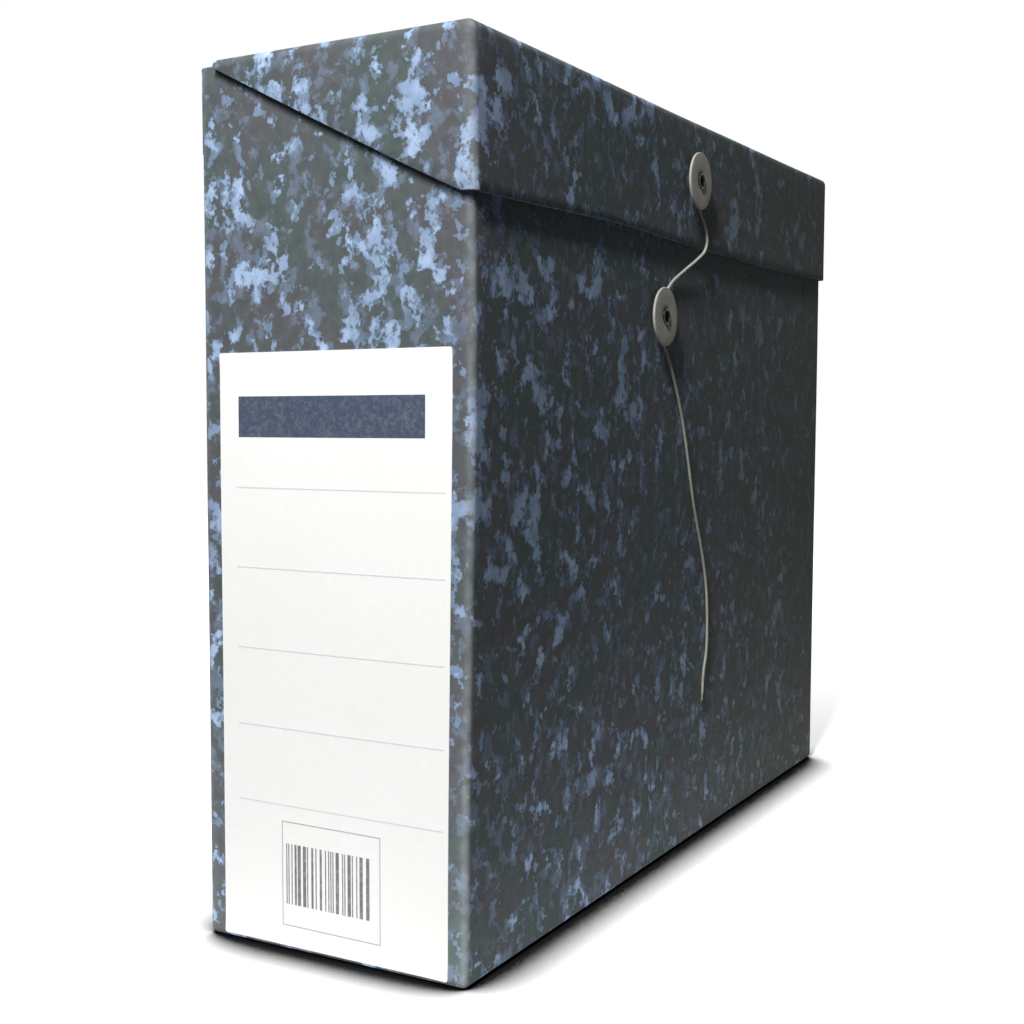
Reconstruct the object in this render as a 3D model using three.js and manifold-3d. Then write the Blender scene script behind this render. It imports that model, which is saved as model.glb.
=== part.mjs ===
import * as THREE from "three";
import { mergeVertices } from "three/addons/utils/BufferGeometryUtils.js";
import Module from "manifold-3d";

// Archive storage box with a hinged lid and a string closure, in millimetres.
// X runs along the long side with the label at -X, -Y is the front and +Z is up.
// The origin is the middle of the flat bottom.

// Outside of the box
const bodyLength = 325;
const bodyWidth = 96;
const closedHeight = 275; // with the lid on
const board = 1.6; // covered greyboard
const bodyFold = 2.4; // outside radius of the upright folds
const bottomFold = 1.6; // outside radius of the folds round the bottom
const bodyInnerFold = 0.8;
const bottomInnerFold = 0.4;

// Glued flaps inside the ends
const flapWidth = 34;
const flapDrop = 9; // below the rim

// Lid
const lidGap = 0.3; // running clearance round the body
const flangeHeight = 46.8;
const lidTopFold = 2.6;
const lidTopInnerFold = 1.0;
const hingeSetback = 6.8; // bare rim behind the lid board
const earDrop = 2.8; // height of the ears at the hinge end
const hingePaper = 0.5; // paper that joins the lid board to the back
const hingeInset = 2; // hinge paper stops short of the ends
const creaseGap = 0.2; // between the hinge paper and the crease

// String closure
const washerRadius = 10.5;
const washerThick = 1.0;
const washerEdge = 0.2;
const washerStandoff = 1.8; // room for the string behind the washer
const upperWasherX = 0;
const upperWasherDrop = 22.6; // below the lid's top
const lowerWasherX = -28.4;
const lowerWasherDrop = 74.3;
const eyeletBore = 1.7; // radii of the tubular eyelet
const eyeletBarrel = 2.4;
const eyeletHead = 3.4;
const eyeletClinch = 3.9;
const eyeletFlangeThick = 0.6;
const eyeletRoll = 0.2; // rounding of the head's edge
const fitGap = 0.3; // between the eyelet and what it goes through
const stringDiameter = 1.2;

// Label on the left end
const labelWidth = 82.6;
const labelHeight = 183.8;
const labelFoot = 1.6; // above the bottom
const labelShift = 0.2; // towards the back
const labelThick = 0.25;
const labelCorner = 0.8;

// Fineness of round shapes
const foldSteps = 5;
const roundSteps = 48;
const stringSides = 8;
const stringSteps = 80;
const weldDistance = 0.0001;
const spill = 5; // how far a cutting shape reaches past what it cuts

// Worked-out places
const halfLength = bodyLength / 2;
const halfWidth = bodyWidth / 2;
const rimHeight = closedHeight - board - lidGap;
const lidHalfLength = halfLength + lidGap + board;
const lidFront = -(halfWidth + lidGap + board);
const lidInnerFold = bodyFold + lidGap;
const lidFold = lidInnerFold + board;
const lidBack = halfWidth - hingeSetback;
const flangeFoot = closedHeight - flangeHeight;

const wasm = await Module();
wasm.setup();

// Turns a closed three.js geometry into a solid for joining and cutting
function toSolid(geometry) {
  const bare = geometry.clone();
  bare.deleteAttribute("normal");
  bare.deleteAttribute("uv");
  const welded = mergeVertices(bare, weldDistance);
  return new wasm.Manifold(new wasm.Mesh({
    numProp: 3,
    vertProperties: new Float32Array(welded.attributes.position.array),
    triVerts: new Uint32Array(welded.index.array),
  }));
}

function toGeometry(solid) {
  const mesh = solid.getMesh();
  const geometry = new THREE.BufferGeometry();
  geometry.setAttribute("position", new THREE.BufferAttribute(mesh.vertProperties, 3));
  geometry.setIndex(new THREE.BufferAttribute(mesh.triVerts, 1));
  geometry.computeVertexNormals();
  return geometry;
}

function roundedOutline(low, high, radius) {
  const outline = new THREE.Shape();
  outline.moveTo(low.x + radius, low.y);
  outline.absarc(high.x - radius, low.y + radius, radius, -Math.PI / 2, 0, false);
  outline.absarc(high.x - radius, high.y - radius, radius, 0, Math.PI / 2, false);
  outline.absarc(low.x + radius, high.y - radius, radius, Math.PI / 2, Math.PI, false);
  outline.absarc(low.x + radius, low.y + radius, radius, Math.PI, 1.5 * Math.PI, false);
  return outline;
}

// A block with rounded upright edges and rounded edges round its top and bottom
function roundedBlock(low, high, uprightRadius, levelRadius) {
  const geometry = new THREE.ExtrudeGeometry(roundedOutline(low, high, uprightRadius), {
    depth: high.z - low.z - 2 * levelRadius,
    curveSegments: foldSteps,
    bevelThickness: levelRadius,
    bevelSize: levelRadius,
    bevelOffset: -levelRadius,
    bevelSegments: foldSteps,
  });
  geometry.translate(0, 0, low.z + levelRadius);
  return toSolid(geometry);
}

function plainBlock(low, high) {
  const geometry = new THREE.BoxGeometry(high.x - low.x, high.y - low.y, high.z - low.z);
  geometry.translate((low.x + high.x) / 2, (low.y + high.y) / 2, (low.z + high.z) / 2);
  return toSolid(geometry);
}

// A round bar along Y, for the holes through the board
function crossBar(radius, x, z, front, back) {
  const geometry = new THREE.CylinderGeometry(radius, radius, back - front, roundSteps);
  geometry.translate(x, (front + back) / 2, z);
  return toSolid(geometry);
}

function point(x, y, z) {
  return new THREE.Vector3(x, y, z);
}

// The hole for an eyelet, with a recess that takes its clinched end flush with the board's inner face
function eyeletHole(x, z, face) {
  const inner = face + board;
  const recess = inner - eyeletFlangeThick - fitGap;
  const hole = crossBar(eyeletBarrel + fitGap, x, z, face - spill, inner + spill);
  return hole.add(crossBar(eyeletClinch + fitGap, x, z, recess, inner + spill));
}

// Places of the two washers: the lid's is the upper one
const closures = {
  upper: { x: upperWasherX, z: closedHeight - upperWasherDrop, face: lidFront },
  lower: { x: lowerWasherX, z: closedHeight - lowerWasherDrop, face: -halfWidth },
};

// Body: one blank folded up from the bottom, with flaps glued inside both ends
function bodySolid() {
  const outside = roundedBlock(
    point(-halfLength, -halfWidth, 0),
    point(halfLength, halfWidth, rimHeight + spill),
    bodyFold,
    bottomFold,
  );
  const aboveRim = plainBlock(
    point(-halfLength - spill, -halfWidth - spill, rimHeight),
    point(halfLength + spill, halfWidth + spill, rimHeight + 2 * spill),
  );
  let inside = roundedBlock(
    point(-halfLength + board, -halfWidth + board, board),
    point(halfLength - board, halfWidth - board, rimHeight + 2 * spill),
    bodyInnerFold,
    bottomInnerFold,
  );
  for (const end of [-1, 1]) {
    for (const side of [-1, 1]) {
      const outer = [end * halfLength, side * halfWidth];
      const flapEdge = [end * (halfLength - 2 * board), side * (halfWidth - board - flapWidth)];
      const flap = plainBlock(
        point(Math.min(outer[0], flapEdge[0]), Math.min(outer[1], flapEdge[1]), 0),
        point(Math.max(outer[0], flapEdge[0]), Math.max(outer[1], flapEdge[1]), rimHeight - flapDrop),
      );
      inside = inside.subtract(flap);
    }
  }
  const { x, z, face } = closures.lower;
  return outside.subtract(aboveRim).subtract(inside).subtract(eyeletHole(x, z, face));
}

// What is cut away below the lid: level under the flange, then rising along the ears to the hinge
function belowLid() {
  const earStart = lidFront + lidFold;
  const earEnd = closedHeight - earDrop;
  const outline = new THREE.Shape([
    new THREE.Vector2(lidFront - spill, flangeFoot),
    new THREE.Vector2(earStart, flangeFoot),
    new THREE.Vector2(lidBack, earEnd),
    new THREE.Vector2(lidBack + 2 * spill, earEnd),
    new THREE.Vector2(lidBack + 2 * spill, -spill),
    new THREE.Vector2(lidFront - spill, -spill),
  ]);
  const reach = lidHalfLength + spill;
  const geometry = new THREE.ExtrudeGeometry(outline, { depth: 2 * reach, bevelEnabled: false });
  geometry.translate(0, 0, -reach);
  geometry.applyMatrix4(new THREE.Matrix4().makeBasis(point(0, 1, 0), point(0, 0, 1), point(1, 0, 0)));
  return toSolid(geometry);
}

// Lid: one blank folded into the top, the front flange and the two ears, with the hinge paper behind
function lidSolid() {
  const outside = roundedBlock(
    point(-lidHalfLength, lidFront, 0),
    point(lidHalfLength, lidBack + 2 * spill, closedHeight),
    lidFold,
    lidTopFold,
  );
  const inside = roundedBlock(
    point(-halfLength - lidGap, -halfWidth - lidGap, -spill),
    point(halfLength + lidGap, lidBack + 3 * spill, closedHeight - board),
    lidInnerFold,
    lidTopInnerFold,
  );
  const behind = plainBlock(
    point(-lidHalfLength - spill, lidBack, -spill),
    point(lidHalfLength + spill, lidBack + 4 * spill, closedHeight + spill),
  );
  const hinge = plainBlock(
    point(-halfLength + hingeInset, lidBack - hingeSetback, closedHeight - board),
    point(halfLength - hingeInset, halfWidth - creaseGap, closedHeight - board + hingePaper),
  );
  const { x, z, face } = closures.upper;
  const folded = outside.subtract(inside).subtract(behind).subtract(belowLid());
  return folded.add(hinge).subtract(eyeletHole(x, z, face));
}

// A lathe shape turned to lie along Y, with its profile given as radius and distance out of the board
function turned(profile, { x, z, face }) {
  const closed = [...profile, profile[0]].map(([radius, out]) => new THREE.Vector2(radius, out));
  const geometry = new THREE.LatheGeometry(closed, roundSteps);
  geometry.rotateX(Math.PI);
  geometry.translate(x, face, z);
  return toGeometry(toSolid(geometry));
}

function washer(closure) {
  const hole = eyeletBarrel + fitGap;
  const back = washerStandoff;
  const front = back + washerThick;
  return turned([
    [hole, back],
    [washerRadius - washerEdge, back],
    [washerRadius, back + washerEdge],
    [washerRadius, front - washerEdge],
    [washerRadius - washerEdge, front],
    [hole, front],
  ], closure);
}

// A tubular eyelet: clinched in the board's recess, with its head over the washer
function eyelet(closure) {
  const headBack = washerStandoff + washerThick + fitGap;
  const headFront = headBack + eyeletFlangeThick;
  return turned([
    [eyeletBore, -board],
    [eyeletClinch, -board],
    [eyeletClinch, -board + eyeletFlangeThick],
    [eyeletBarrel, -board + eyeletFlangeThick],
    [eyeletBarrel, headBack],
    [eyeletHead, headBack],
    [eyeletHead, headFront - eyeletRoll],
    [eyeletHead - eyeletRoll, headFront],
    [eyeletBore + eyeletRoll, headFront],
    [eyeletBore, headFront - eyeletRoll],
  ], closure);
}

// The string's way from the upper eyelet, over the flange, round the lower eyelet and down the front
const stringRoute = [
  [3.4, -50.8, 250.0],
  [4.1, -50.8, 252.6],
  [2.1, -50.8, 256.0],
  [-2.1, -50.8, 256.0],
  [-4.1, -50.8, 252.4],
  [-2.9, -50.8, 249.0],
  [0.2, -50.8, 245.4],
  [3.8, -50.8, 241.8],
  [7.6, -50.8, 238.0],
  [10.2, -50.8, 234.0],
  [10.6, -50.9, 230.6],
  [8.2, -50.9, 227.2],
  [2.6, -50.5, 224.0],
  [-8.0, -49.5, 219.0],
  [-19.0, -48.9, 213.6],
  [-26.4, -48.9, 208.2],
  [-31.2, -48.9, 204.0],
  [-32.6, -48.9, 200.4],
  [-30.9, -48.9, 196.8],
  [-26.6, -48.9, 191.6],
  [-20.8, -48.9, 185.0],
  [-15.6, -48.9, 177.4],
  [-11.0, -48.9, 169.8],
  [-6.3, -48.9, 160.6],
  [-1.2, -48.9, 147.6],
  [4.0, -48.9, 133.4],
  [9.6, -48.9, 121.6],
  [15.4, -48.9, 109.8],
  [19.6, -48.9, 97.6],
  [21.2, -48.9, 84.0],
  [20.6, -48.9, 72.4],
  [17.8, -48.9, 64.0],
  [16.9, -48.9, 55.4],
];

function closureString() {
  const path = new THREE.CatmullRomCurve3(stringRoute.map(([x, y, z]) => point(x, y, z)));
  const section = new THREE.Shape();
  section.absarc(0, 0, stringDiameter / 2, 0, 2 * Math.PI, false);
  return new THREE.ExtrudeGeometry(section, {
    steps: stringSteps,
    curveSegments: stringSides,
    extrudePath: path,
  });
}

// Paper label, stuck flat on the left end
function endLabel() {
  const low = { x: -labelWidth / 2 + labelShift, y: labelFoot };
  const high = { x: labelWidth / 2 + labelShift, y: labelFoot + labelHeight };
  const geometry = new THREE.ExtrudeGeometry(roundedOutline(low, high, labelCorner), {
    depth: labelThick,
    curveSegments: foldSteps,
    bevelEnabled: false,
  });
  geometry.applyMatrix4(new THREE.Matrix4().makeBasis(point(0, 1, 0), point(0, 0, 1), point(1, 0, 0)));
  geometry.translate(-halfLength - labelThick, 0, 0);
  return geometry;
}

// Finishes
const cloudBoard = { color: 0x53595c, roughness: 0.72, metalness: 0 };
const lidCover = { color: 0x565c60, roughness: 0.72, metalness: 0 };
const whitePaper = { color: 0xf3f2ee, roughness: 0.85, metalness: 0 };
const greyFibre = { color: 0x8d8b82, roughness: 0.7, metalness: 0 };
const darkBrass = { color: 0x4a4238, roughness: 0.4, metalness: 1 };
const greyCotton = { color: 0x8f8d84, roughness: 0.95, metalness: 0 };

const archiveBox = new THREE.Group();

function addPiece(name, geometry, finish) {
  const mesh = new THREE.Mesh(geometry, new THREE.MeshStandardMaterial(finish));
  mesh.name = name;
  archiveBox.add(mesh);
}

addPiece("box_body", toGeometry(bodySolid()), cloudBoard);
addPiece("lid", toGeometry(lidSolid()), lidCover);
addPiece("label", endLabel(), whitePaper);
for (const [name, closure] of Object.entries(closures)) {
  addPiece(`${name}_washer`, washer(closure), greyFibre);
  addPiece(`${name}_eyelet`, eyelet(closure), darkBrass);
}
addPiece("closure_string", closureString(), greyCotton);

export default archiveBox;
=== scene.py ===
import math
import random

import bmesh
import bpy
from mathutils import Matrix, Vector, noise


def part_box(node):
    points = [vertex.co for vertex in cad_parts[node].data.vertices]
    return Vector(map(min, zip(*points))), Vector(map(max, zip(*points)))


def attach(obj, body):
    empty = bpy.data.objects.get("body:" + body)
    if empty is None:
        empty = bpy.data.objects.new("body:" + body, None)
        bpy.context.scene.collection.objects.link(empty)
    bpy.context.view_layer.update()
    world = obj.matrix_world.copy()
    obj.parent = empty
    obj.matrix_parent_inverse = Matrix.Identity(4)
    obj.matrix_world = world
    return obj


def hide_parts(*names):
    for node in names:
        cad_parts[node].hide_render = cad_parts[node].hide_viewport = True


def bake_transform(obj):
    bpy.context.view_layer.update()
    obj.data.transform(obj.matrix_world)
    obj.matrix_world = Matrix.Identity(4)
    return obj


# Archive storage box: paper-covered board with a hinged lid, a string closure and an end label.
# Metres. The label is at -X, the front with the washers at -Y, and +Z is up.

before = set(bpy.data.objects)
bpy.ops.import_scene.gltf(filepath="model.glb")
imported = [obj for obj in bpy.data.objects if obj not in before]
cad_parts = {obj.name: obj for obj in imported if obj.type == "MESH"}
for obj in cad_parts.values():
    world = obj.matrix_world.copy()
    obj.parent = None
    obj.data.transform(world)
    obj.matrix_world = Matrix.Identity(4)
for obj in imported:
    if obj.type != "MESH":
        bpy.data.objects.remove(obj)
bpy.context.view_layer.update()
bodyLow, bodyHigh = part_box("box_body")
lidLow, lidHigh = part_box("lid")
print("frame loaded")

# Camera at the photograph's angle
cameraView = {
    "position": (-0.5111, -0.2574, 0.1690),
    "turn": (85.85, -0.19, -60.67),
    "lens": 50.75,
    "shift": (0.0037, -0.0010),
}


def placeCamera():
    lens = bpy.data.cameras.new("viewCamera")
    lens.lens = cameraView["lens"]
    lens.sensor_width = 36
    lens.shift_x, lens.shift_y = cameraView["shift"]
    lens.clip_start = 0.01
    camera = bpy.data.objects.new("viewCamera", lens)
    bpy.context.collection.objects.link(camera)
    camera.location = cameraView["position"]
    camera.rotation_euler = [math.radians(angle) for angle in cameraView["turn"]]
    bpy.context.scene.camera = camera


placeCamera()
print("camera placed")

# Board
boardSheet = {
    "thick": 0.0016,
    "bodyFold": 0.0023,  # outside radius of the folds
    "lidFold": 0.0029,
    "foldSteps": 4,  # per half fold
    "cell": 0.006,
    "closest": 0.0004,  # no two lines of the grid lie closer
    "besideFold": 0.0014,
    "turnIn": 0.013,  # covering paper turned over the cut edges
    "paper": 0.00015,
    "paperStep": 0.0005,  # where the turned-in paper ends
    "edgeRound": 0.0003,
    "eyeletHole": 0.0026,
    "wave": 0.00016,  # unevenness of the pasted panels
    "waveSize": 0.085,
    "waveSeed": 3,
    "bow": 0.0023,  # front corner beside the label
    "bowHeight": 0.184,
    "bowSpread": 0.100,
    "bowReach": 0.11,
    "topRise": 0.0007,  # the front stands a little higher than the back
    "flatSpot": (0.0, 0.2524),  # flat round the upper washer, where the string has to pass
    "flatReach": 0.035,
}


noise.seed_set(boardSheet["waveSeed"])  # so that the waves are the same each time


def eased(place):
    # where a point of the true box lies on the handmade one
    sheet = boardSheet
    wave = noise.noise_vector(place / sheet["waveSize"]) * sheet["wave"]
    along = math.exp(-((place.x - bodyLow.x) / sheet["bowReach"]) ** 2)
    up = math.exp(-((place.z - sheet["bowHeight"]) / sheet["bowSpread"]) ** 2)
    front = min(1, max(0, -place.y / bodyHigh.y))
    wave.y -= sheet["bow"] * along * up * front ** 3
    spotX, spotZ = sheet["flatSpot"]
    away = (place.x - spotX) ** 2 + (place.z - spotZ) ** 2
    wave.y *= 1 - math.exp(-away / sheet["flatReach"] ** 2)
    wave.z -= sheet["topRise"] * place.y / bodyHigh.y * place.z / lidHigh.z
    wave.z *= min(1, place.z / 0.02)
    return place + wave


# Small tools for meshes
def addPiece(name, mesh, materials=()):
    piece = bpy.data.objects.new(name, mesh)
    bpy.context.collection.objects.link(piece)
    for material in materials:
        mesh.materials.append(material)
    return piece


def meshFrom(shape, name):
    mesh = bpy.data.meshes.new(name)
    shape.to_mesh(mesh)
    shape.free()
    return mesh


def settle(piece):
    # the modifiers' result becomes the mesh
    bpy.context.view_layer.update()
    shown = piece.evaluated_get(bpy.context.evaluated_depsgraph_get())
    mesh = bpy.data.meshes.new_from_object(shown)
    plain = piece.data
    piece.modifiers.clear()
    piece.data = mesh
    bpy.data.meshes.remove(plain)
    mesh.name = piece.name


def smooth(piece, angle=35):
    mesh = piece.data
    mesh.polygons.foreach_set("use_smooth", [True] * len(mesh.polygons))
    mesh.set_sharp_from_angle(angle=math.radians(angle))


def fitted(piece, body, slot, *nodes):
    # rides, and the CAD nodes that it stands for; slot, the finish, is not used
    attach(piece, body)
    if nodes:
        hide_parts(*nodes)
    return piece


def gridLine(low, high, fold, lowFold, highFold, extra=()):
    # places of the grid's lines along one side: close together in a fold, evenly spaced between
    steps = boardSheet["foldSteps"]
    offsets = [fold * (1 - math.tan(math.pi / 4 * k / steps)) for k in range(steps, -1, -1)]
    line = [low + offset for offset in offsets] if lowFold else [low]
    flatLow, flatHigh = line[-1], high - (fold if highFold else 0)
    cells = max(1, round((flatHigh - flatLow) / boardSheet["cell"]))
    line += [flatLow + (flatHigh - flatLow) * k / cells for k in range(1, cells)]
    line += [high - offset for offset in reversed(offsets)] if highFold else [high]
    for place in extra:
        line = [other for other in line if abs(other - place) > boardSheet["closest"]] + [place]
    return sorted(line)


def foldedBoard(low, high, fold, sides, extra):
    # the outside of a folded blank, as a grid on the named sides, round at the folds between them
    lines = []
    innerLow, innerHigh = low.copy(), high.copy()
    for axis, name in enumerate("xyz"):
        lowFold, highFold = "-" + name in sides, "+" + name in sides
        lines.append(gridLine(low[axis], high[axis], fold, lowFold, highFold, extra.get(name, ())))
        innerLow[axis] += fold if lowFold else 0
        innerHigh[axis] -= fold if highFold else 0
    shape = bmesh.new()
    corners = {}

    def corner(*index):
        if index not in corners:
            place = Vector([lines[axis][index[axis]] for axis in range(3)])
            inner = Vector([min(max(place[a], innerLow[a]), innerHigh[a]) for a in range(3)])
            outward = place - inner
            place = inner + outward.normalized() * fold if outward.length > 1e-9 else place
            corners[index] = shape.verts.new(place)
        return corners[index]

    for axis, name in enumerate("xyz"):
        first, second = (axis + 1) % 3, (axis + 2) % 3
        for sign in "-+":
            if sign + name not in sides:
                continue
            level = 0 if sign == "-" else len(lines[axis]) - 1
            for i in range(len(lines[first]) - 1):
                for j in range(len(lines[second]) - 1):
                    ring = []
                    for stepI, stepJ in ((0, 0), (1, 0), (1, 1), (0, 1)):
                        index = [0, 0, 0]
                        index[axis], index[first], index[second] = level, i + stepI, j + stepJ
                        ring.append(corner(*index))
                    shape.faces.new(ring if sign == "+" else ring[::-1])
    shape.normal_update()
    return shape


def cutShape(shape, place, away, keepAll=False):
    # cuts by a plane and drops what lies on the side that away points to
    everything = shape.verts[:] + shape.edges[:] + shape.faces[:]
    bmesh.ops.bisect_plane(shape, geom=everything, dist=1e-6, plane_co=place, plane_no=away,
                           clear_outer=not keepAll)


def thicken(piece):
    modifier = piece.modifiers.new("board", "SOLIDIFY")
    modifier.thickness = boardSheet["thick"]
    modifier.offset = -1
    modifier.use_even_offset = True
    modifier.use_quality_normals = True
    modifier.material_offset = 1
    settle(piece)


def punch(piece, spot, material):
    # the round hole for an eyelet
    radius = boardSheet["eyeletHole"]
    front, back = spot["face"] - 0.002, spot["face"] + 0.004
    shape = bmesh.new()
    bmesh.ops.create_cone(shape, cap_ends=True, segments=48, radius1=radius, radius2=radius,
                          depth=back - front)
    for vert in shape.verts:
        place = vert.co.copy()
        vert.co = (spot["x"] + place.x, (front + back) / 2 + place.z, spot["z"] - place.y)
    cutter = addPiece("punch", meshFrom(shape, "punch"), [material])
    modifier = piece.modifiers.new("hole", "BOOLEAN")
    modifier.operation = "DIFFERENCE"
    modifier.solver = "EXACT"
    modifier.object = cutter
    settle(piece)
    bpy.data.meshes.remove(cutter.data)


def roundEdges(piece, width, angle=50, segments=2):
    modifier = piece.modifiers.new("edges", "BEVEL")
    modifier.width = width
    modifier.segments = segments
    modifier.limit_method = "ANGLE"
    modifier.angle_limit = math.radians(angle)
    modifier.use_clamp_overlap = True
    modifier.harden_normals = False
    settle(piece)


# Small tools for materials
def addNode(tree, kind, inputs=None, **settings):
    node = tree.nodes.new("ShaderNode" + kind)
    for key, value in settings.items():
        setattr(node, key, value)
    for key, value in (inputs or {}).items():
        if isinstance(value, bpy.types.NodeSocket):
            tree.links.new(value, node.inputs[key])
        else:
            node.inputs[key].default_value = value
    return node


def newFinish(name, roughness, shine):
    material = bpy.data.materials.new(name)
    material.use_nodes = True
    shader = material.node_tree.nodes["Principled BSDF"]
    shader.inputs["Roughness"].default_value = roughness
    shader.inputs["Specular IOR Level"].default_value = shine
    return material, material.node_tree, shader


def tone(red, green, blue):
    # a colour as it is read off a screen, 0 to 255
    shares = [channel / 255 for channel in (red, green, blue)]
    return [s / 12.92 if s <= 0.04045 else ((s + 0.055) / 1.055) ** 2.4 for s in shares] + [1]


def speckle(tree, place, size, detail=2.0, rough=0.5, twist=0.0):
    noiseNode = addNode(tree, "TexNoise", {"Vector": place, "Scale": 1 / size, "Detail": detail,
                                           "Roughness": rough, "Distortion": twist})
    return noiseNode.outputs["Fac"]


def ramp(tree, value, start, end, low=0.0, high=1.0):
    return addNode(tree, "MapRange", {"Value": value, "From Min": start, "From Max": end,
                                      "To Min": low, "To Max": high}).outputs[0]


def calc(tree, operation, first, second=0.0):
    return addNode(tree, "Math", {0: first, 1: second}, operation=operation).outputs[0]


def blendTone(tree, share, first, second):
    return addNode(tree, "Mix", {0: share, 6: first, 7: second}, data_type="RGBA").outputs[2]


def ownPlace(tree, shift=(0, 0, 0), stretch=(1, 1, 1)):
    place = addNode(tree, "TexCoord").outputs["Object"]
    inputs = {"Vector": place, "Location": shift, "Scale": stretch}
    return addNode(tree, "Mapping", inputs).outputs[0]


def grain(tree, shader, place, size, strength, depth=0.0001, detail=3.0):
    height = speckle(tree, place, size, detail, 0.6)
    bump = addNode(tree, "Bump", {"Height": height, "Strength": strength, "Distance": depth})
    tree.links.new(bump.outputs[0], shader.inputs["Normal"])


# Covering paper: cloud-marbled, pale blue clumps on a dark grey ground
cloudLook = {
    "greenGround": tone(83, 93, 93),
    "brownGround": tone(90, 91, 95),
    "oliveGround": tone(89, 94, 87),
    "greyClump": tone(128, 133, 130),
    "fringe": tone(123, 144, 171),
    "clump": tone(168, 190, 222),
    "midSpeck": tone(109, 121, 139),
    "paler": tone(152, 160, 162),
    "clumpSize": 0.0088,
    "crowdSize": 0.027,
    "holeSize": 0.0021,
    "speckSize": 0.0040,
    "dullSize": 0.0065,
    "faintSize": 0.009,
    "mottleSize": 0.024,
    "foldPatchSize": 0.006,
    "shadeSize": 0.0035,
    "grainSize": 0.0011,
    "level": 0.552,  # the higher, the fewer clumps
    "crowd": 0.07,  # how much the clumps gather
    "clumpEdge": (0.0, 0.03),  # how far above the level a clump starts and is full
    "coreEdge": (0.01, 0.07),
    "holeEdge": (0.56, 0.61),
    "fewerRight": (-0.10, 0.13, 0.0, 0.05),  # from and to along X, and how much
    "fewerLow": (0.12, 0.02, 0.0, 0.03),  # the same along Z
    "dullerRight": (-0.16, 0.14, 1.0, 0.55),
    "oliveRight": (-0.08, 0.15, 0.0, 0.6),
    "greyRight": (-0.06, 0.13, 0.0, 0.7),
    # painted shade: the paper darkens towards the far end along X, for the lamps' fall-off
    "paintedShadeRight": (-0.06, 0.15, 1.0, 0.87),
    # painted light: the paper pales towards the foot, for light thrown up from the floor
    "paintedBounceFoot": (0.12, 0.01, 1.0, 1.55),
    "foldPaling": (0.14, 0.5),  # least and most on the folds
    "roughness": 0.78,
    "clumpRoughness": 0.86,
    "shine": 0.05,
}


def cloudPaper(name, shift):
    look = cloudLook
    material, tree, shader = newFinish(name, look["roughness"], look["shine"])
    bare = ownPlace(tree)
    place = ownPlace(tree, shift, (1, 1, 0.9))
    other = ownPlace(tree, [s + 0.31 for s in shift], (1, 1, 0.85))
    alongX, _, alongZ = addNode(tree, "SeparateXYZ", {0: bare}).outputs

    # clumps where a cloudy height rises above a level that changes over the sheet
    fewer = calc(tree, "ADD", ramp(tree, alongX, *look["fewerRight"]),
                 ramp(tree, alongZ, *look["fewerLow"]))
    crowding = speckle(tree, place, look["crowdSize"], 2.0, 0.55)
    most, least = look["level"] - look["crowd"], look["level"] + look["crowd"]
    level = calc(tree, "ADD", ramp(tree, crowding, 0.3, 0.7, least, most), fewer)
    heap = speckle(tree, place, look["clumpSize"], 4.5, 0.6, 0.1)
    above = calc(tree, "SUBTRACT", heap, level)
    core = ramp(tree, above, *look["coreEdge"])
    hole = ramp(tree, speckle(tree, place, look["holeSize"], 2.0), *look["holeEdge"])
    hole = calc(tree, "MULTIPLY", hole, ramp(tree, above, 0.16, 0.05, 0.15, 0.85))
    clump = calc(tree, "SUBTRACT", ramp(tree, above, *look["clumpEdge"]), hole)

    # specks round them
    spot = speckle(tree, place, look["speckSize"], 3.0, 0.6)
    nearClump = ramp(tree, above, -0.2, 0.0, 0.66, 0.54)
    speck = ramp(tree, calc(tree, "SUBTRACT", spot, nearClump), 0.0, 0.025)
    faint = ramp(tree, speckle(tree, other, look["faintSize"], 1.0), 0.35, 0.62, 0.25, 0.95)
    dull = ramp(tree, speckle(tree, other, look["dullSize"], 4.0, 0.65), 0.53, 0.6, 0.0, 0.75)
    dull = calc(tree, "MULTIPLY", dull, ramp(tree, alongX, *look["dullerRight"]))

    mottle = ramp(tree, speckle(tree, other, look["mottleSize"], 3.0), 0.4, 0.6)
    ground = blendTone(tree, mottle, look["greenGround"], look["brownGround"])
    ground = blendTone(tree, ramp(tree, alongX, *look["oliveRight"]), ground, look["oliveGround"])
    ground = blendTone(tree, dull, ground, look["midSpeck"])
    light = blendTone(tree, calc(tree, "MULTIPLY", core, faint), look["fringe"], look["clump"])
    light = blendTone(tree, ramp(tree, alongX, *look["greyRight"]), light, look["greyClump"])
    cover = calc(tree, "MAXIMUM", clump, calc(tree, "MULTIPLY", speck, faint))
    colour = blendTone(tree, cover, ground, light)

    # paler along the upright folds, and a fine unevenness
    foldShare = addNode(tree, "Attribute", attribute_name="foldPaleness").outputs["Fac"]
    patchy = ramp(tree, speckle(tree, bare, look["foldPatchSize"], 3.0), 0.3, 0.65, *look["foldPaling"])
    paledFold = calc(tree, "MULTIPLY", calc(tree, "MULTIPLY", foldShare, foldShare), patchy)
    colour = blendTone(tree, paledFold, colour, look["paler"])
    shade = ramp(tree, speckle(tree, place, look["shadeSize"], 2.0), 0.25, 0.75, 0.86, 1.14)
    # painted shade and light: darker towards the far end, paler towards the foot
    for axis, change in ((alongZ, "paintedBounceFoot"), (alongX, "paintedShadeRight")):
        shade = calc(tree, "MULTIPLY", shade, ramp(tree, axis, *look[change]))
    scaled = addNode(tree, "VectorMath", {0: colour, "Scale": shade}, operation="SCALE").outputs[0]
    tree.links.new(scaled, shader.inputs["Base Color"])
    roughness = ramp(tree, cover, 0.0, 1.0, look["roughness"], look["clumpRoughness"])
    tree.links.new(roughness, shader.inputs["Roughness"])
    grain(tree, shader, bare, look["grainSize"], 0.25, 0.00008)
    return material


bodyCloud = cloudPaper("cloudPaperBody", (0.04, 0.11, 0.02))
lidCloud = cloudPaper("cloudPaperLid", (0.55, 0.37, 0.23))


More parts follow.
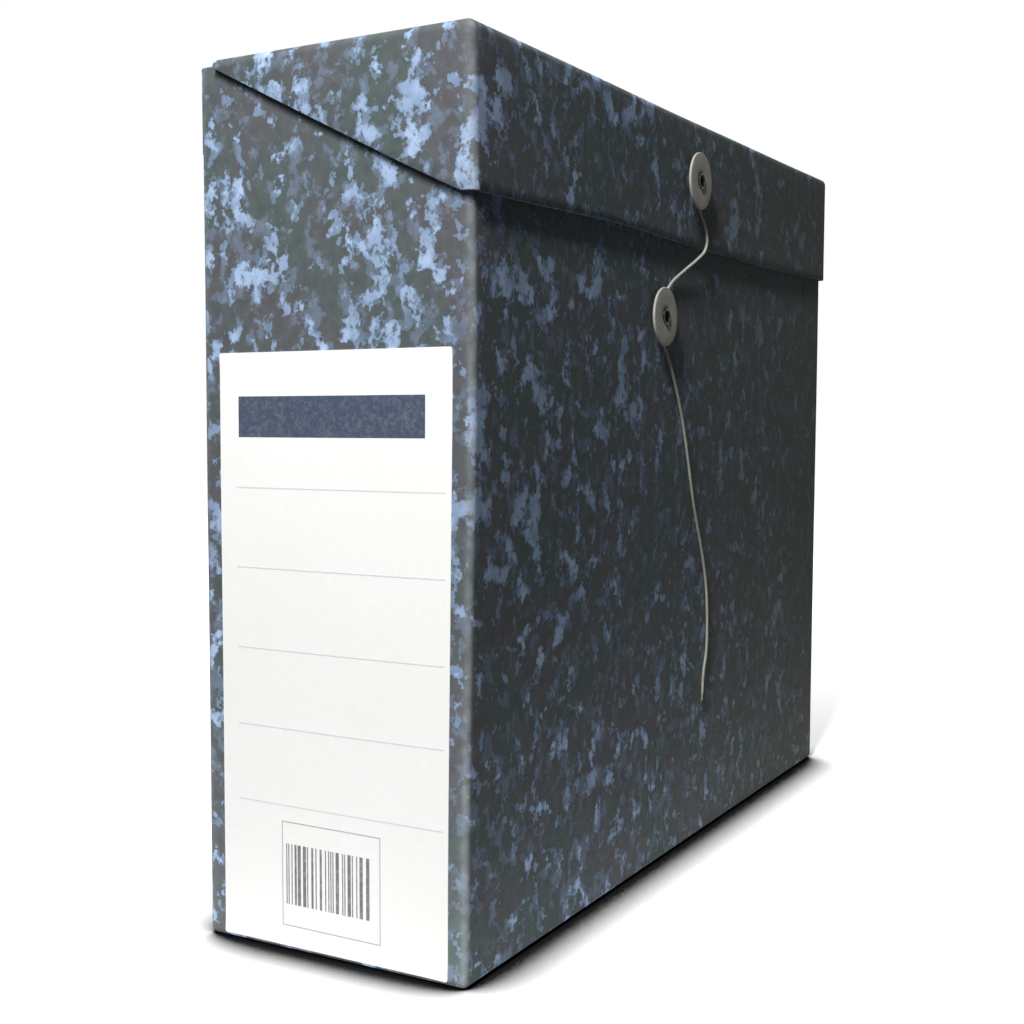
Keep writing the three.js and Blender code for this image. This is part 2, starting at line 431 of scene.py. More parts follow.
def liningBoard():
    material, tree, shader = newFinish("liningBoard", 0.85, 0.15)
    place = ownPlace(tree)
    fibre = ramp(tree, speckle(tree, place, 0.0016, 4.0, 0.7), 0.35, 0.7)
    cloudy = ramp(tree, speckle(tree, place, 0.03, 2.0), 0.3, 0.7)
    colour = blendTone(tree, fibre, tone(156, 152, 143), tone(182, 178, 169))
    colour = blendTone(tree, calc(tree, "MULTIPLY", cloudy, 0.3), colour, tone(165, 158, 146))
    tree.links.new(colour, shader.inputs["Base Color"])
    grain(tree, shader, place, 0.0009, 0.3)
    return material


lining = liningBoard()
print("paper finishes made")


def paleFolds(piece, corners, fold):
    # how much paler the paper is made: full along the upright corners, none beside them
    mesh = piece.data
    layer = mesh.attributes.new("foldPaleness", "FLOAT", "POINT")
    values = []
    for vert in mesh.vertices:
        gap = min(math.hypot(vert.co.x - x, vert.co.y - y) for x, y in corners)
        values.append(min(1, max(0, 1.5 - gap / (fold * 0.95))))
    layer.data.foreach_set("value", values)


# Places of the closure's two washers
closures = {
    "upper": {"x": 0.0, "z": 0.2524, "face": lidLow.y, "body": "lid"},
    "lower": {"x": -0.0284, "z": 0.2007, "face": bodyLow.y, "body": "box"},
}

# Box body
boxBody = {
    "seamFromCorner": 0.014,  # edge of the covering paper on the back
    "flapWidth": 0.034,
    "flapTop": 0.2641,
    "flapSlant": 0.012,
    "flapCut": (0.006, 0.002),  # of the upper corner
    "flapGap": 0.00015,
    "flapRound": 0.0004,
}


def makeBody():
    sheet = boardSheet
    rim = bodyHigh.z
    seam = bodyHigh.x - boxBody["seamFromCorner"]
    turned = rim - sheet["turnIn"]
    step = sheet["paperStep"]
    near = 1.25 * sheet["bodyFold"] + sheet["besideFold"]
    extra = {
        "x": (bodyLow.x + near, bodyHigh.x - near, seam, seam + step),
        "y": (bodyLow.y + near, bodyHigh.y - near),
        "z": (turned, turned - step),
    }
    shape = foldedBoard(bodyLow, bodyHigh, sheet["bodyFold"], ("-x", "+x", "-y", "+y", "-z"), extra)
    body = addPiece("coveredBody", meshFrom(shape, "coveredBody"), [bodyCloud, lining])
    thicken(body)
    inner = sheet["thick"] * 0.6
    mesh = body.data
    for face in mesh.polygons:
        if face.material_index == 1 and face.center.z > turned:
            face.material_index = 0
    for vert in mesh.vertices:
        inside = abs(vert.co.x) < bodyHigh.x - inner and abs(vert.co.y) < bodyHigh.y - inner
        if inside and vert.co.z > turned - 0.0001:
            inX, inY = bodyHigh.x - abs(vert.co.x), bodyHigh.y - abs(vert.co.y)
            if inX < inY + step:
                vert.co.x -= math.copysign(sheet["paper"], vert.co.x)
            if inY < inX + step:
                vert.co.y -= math.copysign(sheet["paper"], vert.co.y)
        if vert.co.y > bodyHigh.y - inner and vert.co.x > seam + 0.0001:
            vert.co.y += sheet["paper"]
    spot = closures["lower"]
    punch(body, spot, lining)
    roundEdges(body, sheet["edgeRound"])
    corners = [(x, y) for x in (bodyLow.x, bodyHigh.x) for y in (bodyLow.y, bodyHigh.y)]
    paleFolds(body, corners, sheet["bodyFold"])
    for vert in body.data.vertices:
        vert.co = eased(vert.co)
    smooth(body)
    return fitted(body, "box", "cloud_paper", "box_body")


coveredBody = makeBody()


def makeFlaps():
    # four glued flaps inside the ends, from the front and the back
    sheet = boardSheet
    shape = bmesh.new()
    thick = sheet["thick"]
    gap = boxBody["flapGap"]
    cutSide, cutTop = boxBody["flapCut"]
    for end in (-1, 1):
        for side in (-1, 1):
            x = [end * (bodyHigh.x - thick + 0.0001), end * (bodyHigh.x - 2 * thick)]
            start = side * (bodyHigh.y - thick - gap)
            stop = side * (bodyHigh.y - thick - boxBody["flapWidth"])
            foot, top = bodyLow.z + thick + gap, boxBody["flapTop"]
            outline = [(start, foot), (stop, foot), (stop, top - boxBody["flapSlant"]),
                       (stop + side * cutSide, top - cutTop), (start, top)]
            rings = [[shape.verts.new((level, y, z)) for y, z in outline] for level in x]
            count = len(outline)
            for k in range(count):
                after = (k + 1) % count
                shape.faces.new((rings[0][k], rings[0][after], rings[1][after], rings[1][k]))
            shape.faces.new(rings[0])
            shape.faces.new(rings[1][::-1])
    bmesh.ops.recalc_face_normals(shape, faces=shape.faces)
    flaps = addPiece("glueFlaps", meshFrom(shape, "glueFlaps"), [lining])
    roundEdges(flaps, boxBody["flapRound"], 40, 3)
    for vert in flaps.data.vertices:
        vert.co = eased(vert.co)
    smooth(flaps)
    return fitted(flaps, "box", "cloud_paper")


glueFlaps = makeFlaps()
print("box body made")

# Lid: top, front flange and two ears
lidBlank = {
    "setback": 0.0068,  # bare rim behind it
    "flangeFoot": 0.2282,
    "earFront": 0.0043,  # behind the flange, where the ears' slant starts
    "earBack": 0.2722,  # height of the ears at the hinge
    "archMiddle": -0.067,  # the flange's foot isn't quite straight
    "arch": 0.0014,
    "archReach": 0.055,
    "dipMiddle": 0.085,
    "dip": 0.0006,
    "dipReach": 0.04,
    "waveHeight": 0.014,  # how far up the flange the foot's wave goes
}


def footWave(x):
    rise = lidBlank["arch"] * math.exp(-((x - lidBlank["archMiddle"]) / lidBlank["archReach"]) ** 2)
    away = (x - lidBlank["dipMiddle"]) / lidBlank["dipReach"]
    return rise - lidBlank["dip"] * math.exp(-away ** 2)


def makeLid():
    sheet = boardSheet
    back = bodyHigh.y - lidBlank["setback"]
    foot = lidBlank["flangeFoot"]
    fold = sheet["lidFold"]
    low = Vector((lidLow.x, lidLow.y, foot - 0.008))
    high = Vector((lidHigh.x, back + 0.004, lidHigh.z))
    step = sheet["paperStep"]
    near = 1.25 * fold + sheet["besideFold"]
    turned = foot + sheet["turnIn"]
    extra = {
        "x": (low.x + near, high.x - near),
        "y": (low.y + near,),
        "z": (turned, turned + step),
    }
    shape = foldedBoard(low, high, fold, ("-x", "+x", "-y", "+z"), extra)
    earStart = Vector((0, lidLow.y + lidBlank["earFront"], foot))
    earEnd = Vector((0, back, lidBlank["earBack"]))
    slope = (earEnd - earStart).normalized()
    downward = Vector((0, slope.z, -slope.y))
    cutShape(shape, Vector((0, back, 0)), Vector((0, 1, 0)))
    cutShape(shape, earStart, downward)
    cutShape(shape, Vector((0, 0, foot)), Vector((0, 0, -1)))
    for reach in (sheet["turnIn"], sheet["turnIn"] + step):
        cutShape(shape, earStart - downward * reach, downward, True)
    lid = addPiece("coveredLid", meshFrom(shape, "coveredLid"), [lidCloud, lining])
    thicken(lid)
    mesh = lid.data
    inner = sheet["thick"] * 0.6
    middleX = (low.x + high.x) / 2
    halfX = (high.x - low.x) / 2
    for face in mesh.polygons:
        if face.material_index == 1:
            place = face.center
            onEar = halfX - abs(place.x - middleX) < sheet["thick"] + 0.0004
            band = (place - earStart).dot(-downward)
            onFlange = not onEar and place.y < low.y + 0.004
            if onEar and band < sheet["turnIn"] or onFlange and place.z < turned:
                face.material_index = 0
    for vert in mesh.vertices:
        place = vert.co
        insideX = halfX - abs(place.x - middleX)
        insideY = place.y - low.y
        band = (place - earStart).dot(-downward)
        turnedIn = band < sheet["turnIn"] + 0.0001
        if inner < insideX < sheet["thick"] + 0.0003 and turnedIn:
            place.x -= math.copysign(sheet["paper"], place.x)
        if inner < insideY < sheet["thick"] + 0.0003 and place.z < turned + 0.0001:
            place.y += sheet["paper"]
    spot = closures["upper"]
    punch(lid, spot, lining)
    roundEdges(lid, sheet["edgeRound"])
    paleFolds(lid, [(x, lidLow.y) for x in (lidLow.x, lidHigh.x)], fold)
    for vert in lid.data.vertices:
        place = vert.co
        if place.y < lidLow.y + 0.006:
            share = min(1, max(0, 1 - (place.z - foot) / lidBlank["waveHeight"]))
            place.z += footWave(place.x) * share * share
        vert.co = eased(place)
    smooth(lid)
    return fitted(lid, "lid", "lid_paper", "lid")


coveredLid = makeLid()
print("lid made")

# Hinge: the covering paper runs from the back panel over the rim to the lid board
hingeStrip = {
    "inset": 0.0014,  # from the ends
    "drop": 0.026,  # on the back panel
    "under": 0.004,  # under the lid board
    "thick": 0.0002,
    "bend": 0.0026,
}


def makeHinge():
    strip = hingeStrip
    rim = bodyHigh.z
    back = bodyHigh.y
    lidBack = back - lidBlank["setback"]
    lift = 0.00022
    route = [(back + 0.00012, rim - strip["drop"] + 0.0026 * k) for k in range(10)]
    route += [(back + 0.00014, rim - 0.0012 + 0.0004 * k) for k in range(3)]
    for k in range(1, 6):
        angle = math.radians(90 * k / 6)
        route.append((back - 0.0003 + 0.00044 * math.cos(angle),
                      rim - 0.0002 + 0.00042 * math.sin(angle)))
    route += [(back - 0.0005 - 0.0004 * k, rim + lift) for k in range(16)]
    route += [(lidBack - strip["under"] * k / 4, rim + lift) for k in range(1, 5)]
    columns = 56
    left, right = bodyLow.x + strip["inset"], bodyHigh.x - strip["inset"]
    shape = bmesh.new()
    rows = []
    for y, z in route:
        rows.append([shape.verts.new((left + (right - left) * c / columns, y, z))
                     for c in range(columns + 1)])
    for first, second in zip(rows, rows[1:]):
        for c in range(columns):
            shape.faces.new((first[c], second[c], second[c + 1], first[c + 1]))
    shape.normal_update()
    hinge = addPiece("paperHinge", meshFrom(shape, "paperHinge"), [lidCloud])
    modifier = hinge.modifiers.new("paper", "SOLIDIFY")
    modifier.thickness = strip["thick"]
    modifier.offset = 0
    settle(hinge)
    for vert in hinge.data.vertices:
        vert.co = eased(vert.co)
    smooth(hinge)
    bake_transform(hinge)
    return hinge


paperHinge = makeHinge()
print("hinge made")


# Label with its print on the left end
def labelPaper():
    material, tree, shader = newFinish("labelPaper", 0.6, 0.3)
    place = ownPlace(tree)
    fibre = ramp(tree, speckle(tree, place, 0.002, 4.0, 0.7), 0.3, 0.7)
    cloudy = ramp(tree, speckle(tree, place, 0.04, 2.0), 0.3, 0.7)
    colour = blendTone(tree, fibre, tone(243, 243, 241), tone(247, 247, 246))
    colour = blendTone(tree, calc(tree, "MULTIPLY", cloudy, 0.25), colour, tone(240, 239, 234))
    tree.links.new(colour, shader.inputs["Base Color"])
    grain(tree, shader, place, 0.0008, 0.12, 0.00005)
    return material


def printInk(name, ink, patchy):
    material, tree, shader = newFinish(name, 0.55, 0.25)
    place = ownPlace(tree)
    paler = ramp(tree, speckle(tree, place, 0.0015, 4.0, 0.7), 0.45, 0.75, 0.0, patchy)
    colour = blendTone(tree, paler, ink, tone(225, 226, 228))
    tree.links.new(colour, shader.inputs["Base Color"])
    grain(tree, shader, place, 0.0008, 0.1, 0.00003)
    return material


endLabel = {
    "corner": 0.0008,
    "lift": 0.0003,  # of the corners
    "liftReach": 0.008,
    "low": (-0.0420, 0.0016),
    "high": (0.0410, 0.1854),
    "thick": 0.00022,
}

labelPrint = {
    "proud": 0.00004,
    "ruleHeights": (0.1440, 0.1192, 0.0941, 0.0699, 0.0459),
    "ruleEnds": (-0.0403, 0.0348),
    "ruleWidth": 0.00038,
    "band": (-0.0337, 0.0337, 0.1595, 0.1720),
    "frame": (-0.0186, 0.0182, 0.0080, 0.0410),
    "frameWidth": 0.00035,
    "bars": (-0.0146, 0.0175, 0.0150, 0.0340),
    "barSeed": 11,
}


def onLabel(y, z, out):
    # a point on the label's face, out from the end panel
    across = min(y - endLabel["low"][0], endLabel["high"][0] - y)
    along = min(z - endLabel["low"][1], endLabel["high"][1] - z)
    nearEdge = min(across, along) < endLabel["liftReach"]
    share = max(0, 1 - math.hypot(across, along) / endLabel["liftReach"])
    lift = endLabel["lift"] * share ** 2 if nearEdge else 0
    return eased(Vector((bodyLow.x, y, z))) - Vector((out + lift, 0, 0))


def sheetOnLabel(shape, lineY, lineZ, back, front, cornerCut=0.0):
    # a closed thin sheet on the label, as a grid
    grids = []
    for out in (back, front):
        grid = []
        for y in lineY:
            column = []
            for z in lineZ:
                nearY = min(max(y, lineY[0] + cornerCut), lineY[-1] - cornerCut)
                nearZ = min(max(z, lineZ[0] + cornerCut), lineZ[-1] - cornerCut)
                outward = Vector((y - nearY, z - nearZ))
                reach = outward.length
                if abs(outward.x) > 1e-9 and abs(outward.y) > 1e-9:
                    outward *= max(abs(outward.x), abs(outward.y)) / reach
                column.append(shape.verts.new(onLabel(nearY + outward.x, nearZ + outward.y, out)))
            grid.append(column)
        grids.append(grid)
    lowGrid, topGrid = grids
    lastY, lastZ = len(lineY) - 1, len(lineZ) - 1
    for i in range(lastY):
        for j in range(lastZ):
            top = (topGrid[i][j], topGrid[i][j + 1], topGrid[i + 1][j + 1], topGrid[i + 1][j])
            shape.faces.new(top)
            low = (lowGrid[i][j], lowGrid[i + 1][j], lowGrid[i + 1][j + 1], lowGrid[i][j + 1])
            shape.faces.new(low)
    border = [(i, 0) for i in range(lastY)] + [(lastY, j) for j in range(lastZ)]
    border += [(i, lastZ) for i in range(lastY, 0, -1)] + [(0, j) for j in range(lastZ, 0, -1)]
    for (i, j), (m, n) in zip(border, border[1:] + border[:1]):
        shape.faces.new((lowGrid[i][j], topGrid[i][j], topGrid[m][n], lowGrid[m][n]))


def evenLine(low, high, cell, edge=()):
    count = max(1, round((high - low) / cell))
    line = [low + (high - low) * k / count for k in range(count + 1)]
    line += [low + step for step in edge] + [high - step for step in edge]
    return sorted(line)


def makeLabel():
    shape = bmesh.new()
    corner = endLabel["corner"]
    edge = (corner * 0.35, corner * 0.7, corner)
    lineY = evenLine(endLabel["low"][0], endLabel["high"][0], 0.003, edge)
    lineZ = evenLine(endLabel["low"][1], endLabel["high"][1], 0.003, edge)
    sheetOnLabel(shape, lineY, lineZ, -0.0001, endLabel["thick"], corner)
    bmesh.ops.recalc_face_normals(shape, faces=shape.faces)
    label = addPiece("labelSheet", meshFrom(shape, "labelSheet"), [labelPaper()])
    smooth(label)
    return fitted(label, "box", "label_paper", "label")


def makePrint(name, ink, fields):
    shape = bmesh.new()
    for lowY, highY, lowZ, highZ in fields:
        sheetOnLabel(shape, evenLine(lowY, highY, 0.003), evenLine(lowZ, highZ, 0.003),
                     endLabel["thick"] - 0.0001, endLabel["thick"] + labelPrint["proud"])
    bmesh.ops.recalc_face_normals(shape, faces=shape.faces)
    piece = addPiece(name, meshFrom(shape, name), [ink])
    smooth(piece)
    return fitted(piece, "box", "label_paper")


def ruleFields():
    half = labelPrint["ruleWidth"] / 2
    low, high = labelPrint["ruleEnds"]
    return [(low, high, z - half, z + half) for z in labelPrint["ruleHeights"]]


def frameFields():
    low, high, foot, top = labelPrint["frame"]
    wide = labelPrint["frameWidth"]
    level = [(low, high, foot, foot + wide), (low, high, top - wide, top)]
    upright = [(y, y + wide, foot + wide, top - wide) for y in (low, high - wide)]
    return level + upright


def barFields():
    # plain upright bars of mixed widths
    low, high, foot, top = labelPrint["bars"]
    choice = random.Random(labelPrint["barSeed"])
    fields = []
    place = low
    while place < high - 0.0012:
        wide = choice.choice((0.0004, 0.0004, 0.0008, 0.0012))
        fields.append((place, place + wide, foot, top))
        place += wide + choice.choice((0.0004, 0.0008, 0.0008, 0.0012))
    return fields


labelSheet = makeLabel()
labelRules = makePrint("labelRules", printInk("ruleInk", tone(216, 217, 217), 0.2), ruleFields())
bandInk = printInk("bandInk", tone(62, 72, 92), 0.12)
labelBand = makePrint("labelBand", bandInk, [labelPrint["band"]])
labelFrame = makePrint("labelFrame", printInk("frameInk", tone(176, 178, 180), 0.3), frameFields())
labelBars = makePrint("labelBars", printInk("barInk", tone(112, 114, 118), 0.35), barFields())
print("label made")


# Closure: two fibre washers on tubular eyelets
def fibreDisc():
    material, tree, shader = newFinish("fibreDisc", 0.75, 0.2)
    place = ownPlace(tree)
    fibre = ramp(tree, speckle(tree, place, 0.0012, 5.0, 0.7), 0.3, 0.7)
    blot = ramp(tree, speckle(tree, place, 0.005, 3.0), 0.35, 0.7)
    colour = blendTone(tree, fibre, tone(150, 149, 142), tone(176, 175, 168))
    colour = blendTone(tree, calc(tree, "MULTIPLY", blot, 0.35), colour, tone(138, 136, 129))
    tree.links.new(colour, shader.inputs["Base Color"])
    grain(tree, shader, place, 0.0006, 0.4)
    return material


def darkEyelet():
    material, tree, shader = newFinish("darkEyelet", 0.42, 0.5)
    shader.inputs["Metallic"].default_value = 1
    place = ownPlace(tree)
    patina = ramp(tree, speckle(tree, place, 0.0022, 4.0, 0.65), 0.35, 0.7)
    colour = blendTone(tree, patina, tone(32, 31, 30), tone(54, 51, 47))
    tree.links.new(colour, shader.inputs["Base Color"])
    tree.links.new(ramp(tree, patina, 0.0, 1.0, 0.36, 0.55), shader.inputs["Roughness"])
    return material


def turned(name, profile, spot, material):
    # a turned piece whose axis stands out of the front; the profile is radius and distance out
    shape = bmesh.new()
    steps = 64
    rings = []
    for k in range(steps):
        angle = 2 * math.pi * k / steps
        across, up = math.cos(angle), math.sin(angle)
        rings.append([shape.verts.new((spot["x"] + radius * across, spot["face"] - out,
                                       spot["z"] + radius * up)) for radius, out in profile])
    for first, second in zip(rings, rings[1:] + rings[:1]):
        for k in range(len(profile)):
            after = (k + 1) % len(profile)
            shape.faces.new((first[k], first[after], second[after], second[k]))
    bmesh.ops.recalc_face_normals(shape, faces=shape.faces)
    return addPiece(name, meshFrom(shape, name), [material])


def arc(middleRadius, middleOut, size, start, stop, steps=5):
    points = []
    for k in range(steps + 1):
        angle = math.radians(start + (stop - start) * k / steps)
        points.append((middleRadius + size * math.cos(angle), middleOut + size * math.sin(angle)))
    return points


washerDisc = {
    "radius": 0.0105,
    "hole": 0.0026,
    "back": 0.0018,  # off the board
    "thick": 0.0010,
    "edge": 0.00035,
    "cup": 0.00018,  # pressed in under the eyelet's head
}

tubeEyelet = {
    "bore": 0.0021,
    "barrel": 0.0024,
    "head": 0.0030,
    "headThick": 0.00065,
    "clinch": 0.0038,
    "clinchThick": 0.0004,
}


def makeWasher(name, spot, material):
    disc = washerDisc
    edge = disc["edge"]
    back, front = disc["back"], disc["back"] + disc["thick"]
    cup = disc["cup"]
    profile = [(disc["hole"], back), (disc["radius"] * 0.6, back)]
    profile += arc(disc["radius"] - edge, back + edge, edge, -90, 0)
    profile += arc(disc["radius"] - edge, front - edge, edge, 0, 90)
    profile += [(disc["radius"] * 0.7, front + 0.00004), (disc["radius"] * 0.45, front),
                (tubeEyelet["head"] + 0.0004, front - cup * 0.3), (tubeEyelet["head"], front - cup),
                (disc["hole"], front - cup)]
    washer = turned(name, profile, spot, material)
    for vert in washer.data.vertices:
        # a cut disc is never quite flat
        lift = noise.noise(vert.co * 90) * 0.00012
        vert.co.y += lift
        vert.co = eased(vert.co)
    smooth(washer)
    return washer


def makeEyelet(name, spot, material):
    tube = tubeEyelet
    seat = washerDisc["back"] + washerDisc["thick"] - washerDisc["cup"]
    top = seat + tube["headThick"]
    inner = -boardSheet["thick"]
    bore, head = tube["bore"], tube["head"]
    roll = (head - bore) / 2
    profile = [(bore, inner - 0.00002)]
    profile += [(bore + 0.0003, inner - 0.00012), (tube["clinch"] - 0.0003, inner - 0.00012)]
    profile += [(tube["clinch"], inner + 0.00005),
                (tube["clinch"] - 0.0002, inner + tube["clinchThick"]),
                (tube["barrel"], inner + tube["clinchThick"]), (tube["barrel"], seat - 0.0001),
                (head - 0.0002, seat - 0.0001), (head, seat + 0.0001)]
    for k in range(0, 9):
        angle = math.radians(180 * k / 8)
        profile.append((bore + roll + roll * math.cos(angle),
                        seat + 0.0002 + (top - seat - 0.0002) * math.sin(angle)))
    eyelet = turned(name, profile, spot, material)
    for vert in eyelet.data.vertices:
        vert.co = eased(vert.co)
    smooth(eyelet, 50)
    return eyelet


fibre = fibreDisc()
eyeletMetal = darkEyelet()
for name, spot in closures.items():
    disc = makeWasher(name + "Washer", spot, fibre)
    fitted(disc, spot["body"], "grey_fibre", name + "_washer")
    tube = makeEyelet(name + "Eyelet", spot, eyeletMetal)
    fitted(tube, spot["body"], "dark_brass", name + "_eyelet")
print("washers and eyelets made")


# Closure string: from the upper eyelet over the flange, round the lower eyelet and down
def cottonTwine():
    material, tree, shader = newFinish("cottonTwine", 0.92, 0.15)
    place = ownPlace(tree)
    fibre = ramp(tree, speckle(tree, place, 0.0005, 4.0, 0.7), 0.3, 0.7)
    soil = ramp(tree, speckle(tree, place, 0.012, 3.0), 0.4, 0.7)
    colour = blendTone(tree, fibre, tone(144, 142, 133), tone(184, 182, 173))
    colour = blendTone(tree, calc(tree, "MULTIPLY", soil, 0.4), colour, tone(158, 154, 142))
    tree.links.new(colour, shader.inputs["Base Color"])
    grain(tree, shader, place, 0.0003, 0.5, 0.00006)
    return material


closureTwine = {
    "thick": 0.0012,
    "lobes": 3,
    "lobeDepth": 0.24,
    "pitch": 0.0036,
    "ring": 15,
    "step": 0.0007,
    "frayLength": 0.0032,
    "frayStrands": 9,
    "route": (
        (3.4, -50.8, 250.0), (4.1, -50.8, 252.6), (2.1, -50.8, 256.0), (-2.1, -50.8, 256.0),
        (-4.1, -50.8, 252.4), (-2.9, -50.8, 249.0), (0.2, -50.8, 245.4), (3.8, -50.8, 241.8),
        (7.6, -50.8, 238.0), (10.2, -50.8, 234.0), (10.6, -50.8, 230.6), (8.2, -50.8, 227.2),
        (2.6, -50.5, 224.0), (-8.0, -49.6, 219.0), (-19.0, -48.9, 213.6), (-26.4, -48.9, 208.2),
        (-31.2, -48.9, 204.0), (-32.6, -48.9, 200.4), (-30.9, -48.9, 196.8), (-26.6, -48.9, 191.6),
        (-20.8, -48.9, 185.0), (-15.6, -48.9, 177.4), (-11.0, -48.9, 169.8), (-6.3, -48.9, 160.6),
        (-1.2, -48.9, 147.6), (4.0, -48.9, 133.4), (9.6, -48.9, 121.6), (15.4, -48.9, 109.8),
        (19.6, -48.9, 97.6), (21.2, -48.9, 84.0), (20.6, -48.9, 72.4), (17.8, -48.9, 64.0),
        (16.9, -48.9, 55.4),
    ),
}


def smoothRoute(points, step):
    # a smooth line through the points, spaced evenly along it
    fine = []
    for k in range(len(points) - 1):
        first, second = points[k], points[k + 1]
        before = points[k - 1] if k else first * 2 - second
        after = points[k + 2] if k + 2 < len(points) else second * 2 - first
        spans = ((before, first), (first, second), (second, after))
        gaps = [math.sqrt((b - a).length) for a, b in spans]
        leave = ((first - before) / gaps[0] - (second - before) / (gaps[0] + gaps[1])
                 + (second - first) / gaps[1]) * gaps[1]
        arrive = ((second - first) / gaps[1] - (after - first) / (gaps[1] + gaps[2])
                  + (after - second) / gaps[2]) * gaps[1]
        for part in range(24):
            t = part / 24
            fine.append(first * (2 * t ** 3 - 3 * t ** 2 + 1) + leave * (t ** 3 - 2 * t ** 2 + t)
                        + second * (-2 * t ** 3 + 3 * t ** 2) + arrive * (t ** 3 - t ** 2))
    fine.append(points[-1])
    total = sum((b - a).length for a, b in zip(fine, fine[1:]))
    count = round(total / step)
    line, walked, k = [fine[0]], 0.0, 0
    for index in range(1, count):
        goal = total * index / count
        while walked + (fine[k + 1] - fine[k]).length < goal:
            walked += (fine[k + 1] - fine[k]).length
            k += 1
        span = fine[k + 1] - fine[k]
        line.append(fine[k] + span * ((goal - walked) / span.length))
    return line + [fine[-1]]


def twistedTube(shape, line, radius, lobes, depth, pitch, ring, taper=0):
    # a tube with a lobed section that turns as it goes
    side = None
    walked = 0.0
    rings = []
    for k, place in enumerate(line):
        along = (line[min(k + 1, len(line) - 1)] - line[max(k - 1, 0)]).normalized()
        if side is None:
            side = along.orthogonal().normalized()
        side = (side - along * side.dot(along)).normalized()
        other = along.cross(side)
        walked += (place - line[k - 1]).length if k else 0
        turn = 2 * math.pi * walked / pitch
        end = min(1, 0.55 + 0.45 * min(k, len(line) - 1 - k) / 1.5)
        size = radius * end * (1 - taper * k / (len(line) - 1))
        verts = []
        for n in range(ring):
            angle = 2 * math.pi * n / ring
            reach = size * (1 - depth + depth * abs(math.cos(lobes * angle / 2)))
            verts.append(shape.verts.new(place + side * reach * math.cos(angle + turn)
                                         + other * reach * math.sin(angle + turn)))
        rings.append(verts)
    for first, second in zip(rings, rings[1:]):
        for n in range(ring):
            after = (n + 1) % ring
            shape.faces.new((first[n], first[after], second[after], second[n]))
    shape.faces.new(rings[0][::-1])
    shape.faces.new(rings[-1])


def makeString():
    twine = closureTwine
    points = [eased(Vector(point) / 1000) for point in twine["route"]]
    line = smoothRoute(points, twine["step"])
    material = cottonTwine()
    shape = bmesh.new()
    twistedTube(shape, line, twine["thick"] / 2, twine["lobes"], twine["lobeDepth"], twine["pitch"],
                twine["ring"])
    bmesh.ops.recalc_face_normals(shape, faces=shape.faces)
    string = addPiece("closureString", meshFrom(shape, "closureString"), [material])
    smooth(string, 60)
    fitted(string, "string", "grey_cotton", "closure_string")
    choice = random.Random(5)
    shape = bmesh.new()
    tip, along = line[-1], (line[-1] - line[-4]).normalized()
    for k in range(twine["frayStrands"]):
        turn = 2 * math.pi * k / twine["frayStrands"]
        out = Vector((math.cos(turn), 0.35 * math.sin(turn), 0)) * choice.uniform(0.15, 0.45)
        reach = twine["frayLength"] * choice.uniform(0.6, 1)
        start = tip - along * 0.0006 + Vector((math.cos(turn), 0, 0)) * 0.00025
        strand = []
        for part in range(5):
            t = part / 4
            aside = Vector((0, 0.00004 * math.sin(turn), 0))
            strand.append(start + (along + out * t) * reach * t + aside)
        twistedTube(shape, strand, 0.00016, 2, 0.0, 0.003, 5, 0.5)
    bmesh.ops.recalc_face_normals(shape, faces=shape.faces)
    fray = addPiece("stringFray", meshFrom(shape, "stringFray"), [material])
    smooth(fray, 60)
    fitted(fray, "string", "grey_cotton")
    return string


closureString = makeString()

# Studio: pale floor, three lamps from the left and above, one from behind for the far sides
studio = {
    "floorNear": tone(205, 205, 205),
    "floorFar": tone(70, 70, 70),  # seen only by the light that falls on the box
    "nearReach": 0.02,  # off the box's foot
    "farReach": 0.11,
    "paintedShadowReach": 0.03,  # reach of the painted shadow where the box stands
    "skyLevel": 0.012,
}

studioLamps = {
    # where it stands from the middle of the box, how far off, its width and its power
    "keyLamp": ((-0.71, -0.14, 0.69), 1.7, 0.18, 15.4),
    "sideLamp": ((-0.83, -0.09, 0.55), 1.2, 0.24, 3.0),
    "overheadLamp": ((-0.62, -0.16, 0.77), 0.95, 0.11, 5.7),
    "backLamp": ((0.62, 0.70, 0.36), 1.6, 0.9, 7),
}


def seenDirectly(tree):
    # 1 where the camera, a mirror or glass looks, and 0 for light that falls on things
    paths = addNode(tree, "LightPath").outputs
    seen = calc(tree, "MAXIMUM", paths["Is Camera Ray"], paths["Is Glossy Ray"])
    return calc(tree, "MAXIMUM", seen, paths["Is Transmission Ray"])


def makeSky():
    world = bpy.data.worlds.new("studioSky")
    world.use_nodes = True
    bpy.context.scene.world = world
    tree = world.node_tree
    background = tree.nodes["Background"]
    background.inputs["Color"].default_value = (1, 1, 1, 1)
    strength = ramp(tree, seenDirectly(tree), 0.0, 1.0, studio["skyLevel"], 1.0)
    tree.links.new(strength, background.inputs["Strength"])


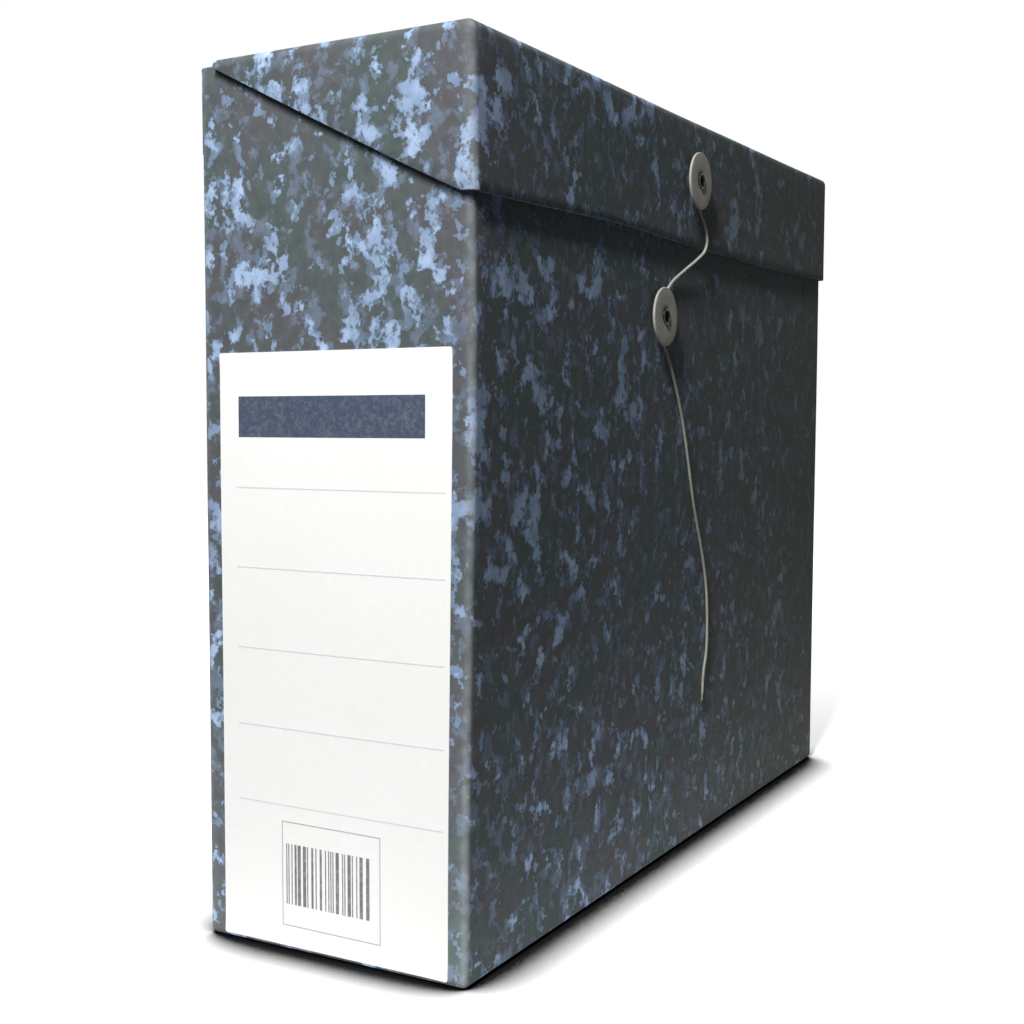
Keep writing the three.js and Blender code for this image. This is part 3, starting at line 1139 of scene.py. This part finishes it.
def makeFloor():
    shape = bmesh.new()
    bmesh.ops.create_circle(shape, cap_ends=True, segments=96, radius=14)
    floor = addPiece("studioFloor", meshFrom(shape, "studioFloor"))
    floor.location.z = -0.0002
    material, tree, shader = newFinish("floorPaint", 0.9, 0.0)
    place = addNode(tree, "TexCoord").outputs["Object"]
    reach = addNode(tree, "VectorMath", {0: place}, operation="LENGTH").outputs["Value"]
    far = addNode(tree, "VectorMath", {0: place}, operation="ABSOLUTE").outputs[0]
    foot = (bodyHigh.x, bodyHigh.y, 0)
    far = addNode(tree, "VectorMath", {0: far, 1: foot}, operation="SUBTRACT").outputs[0]
    far = addNode(tree, "VectorMath", {0: far, 1: (0, 0, 0)}, operation="MAXIMUM").outputs[0]
    far = addNode(tree, "VectorMath", {0: far}, operation="LENGTH").outputs["Value"]
    away = ramp(tree, far, studio["nearReach"], studio["farReach"])
    seen = seenDirectly(tree)
    lit = blendTone(tree, away, studio["floorNear"], studio["floorFar"])
    # painted shadow: the floor the camera sees goes dark where the box stands, by ambient
    # occlusion, and its glow drops there too
    inputs = {"Distance": studio["paintedShadowReach"]}
    paintedContactShadow = addNode(tree, "AmbientOcclusion", inputs, samples=16).outputs["AO"]
    paintedContactShadow = ramp(tree, paintedContactShadow, 0.56, 0.92)
    paint = blendTone(tree, paintedContactShadow, tone(20, 20, 20), tone(240, 240, 240))
    tree.links.new(blendTone(tree, seen, lit, paint), shader.inputs["Base Color"])
    shader.inputs["Emission Color"].default_value = (1, 1, 1, 1)
    glow = calc(tree, "MULTIPLY", ramp(tree, reach, 0.15, 0.42, 0.62, 1.0), paintedContactShadow)
    tree.links.new(calc(tree, "MULTIPLY", seen, glow), shader.inputs["Emission Strength"])
    floor.data.materials.append(material)


def makeLamp(name, toward, distance, size, power):
    lamp = bpy.data.lights.new(name, "AREA")
    lamp.shape = "DISK"
    lamp.size = size
    lamp.energy = power
    holder = bpy.data.objects.new(name, lamp)
    bpy.context.collection.objects.link(holder)
    direction = Vector(toward).normalized()
    holder.location = Vector((0, 0, bodyHigh.z / 2)) + direction * distance
    holder.rotation_euler = direction.to_track_quat("Z", "Y").to_euler()


makeSky()
makeFloor()
for lampName, lampValues in studioLamps.items():
    makeLamp(lampName, *lampValues)
bpy.context.scene.view_settings.view_transform = "Standard"
print("studio made")
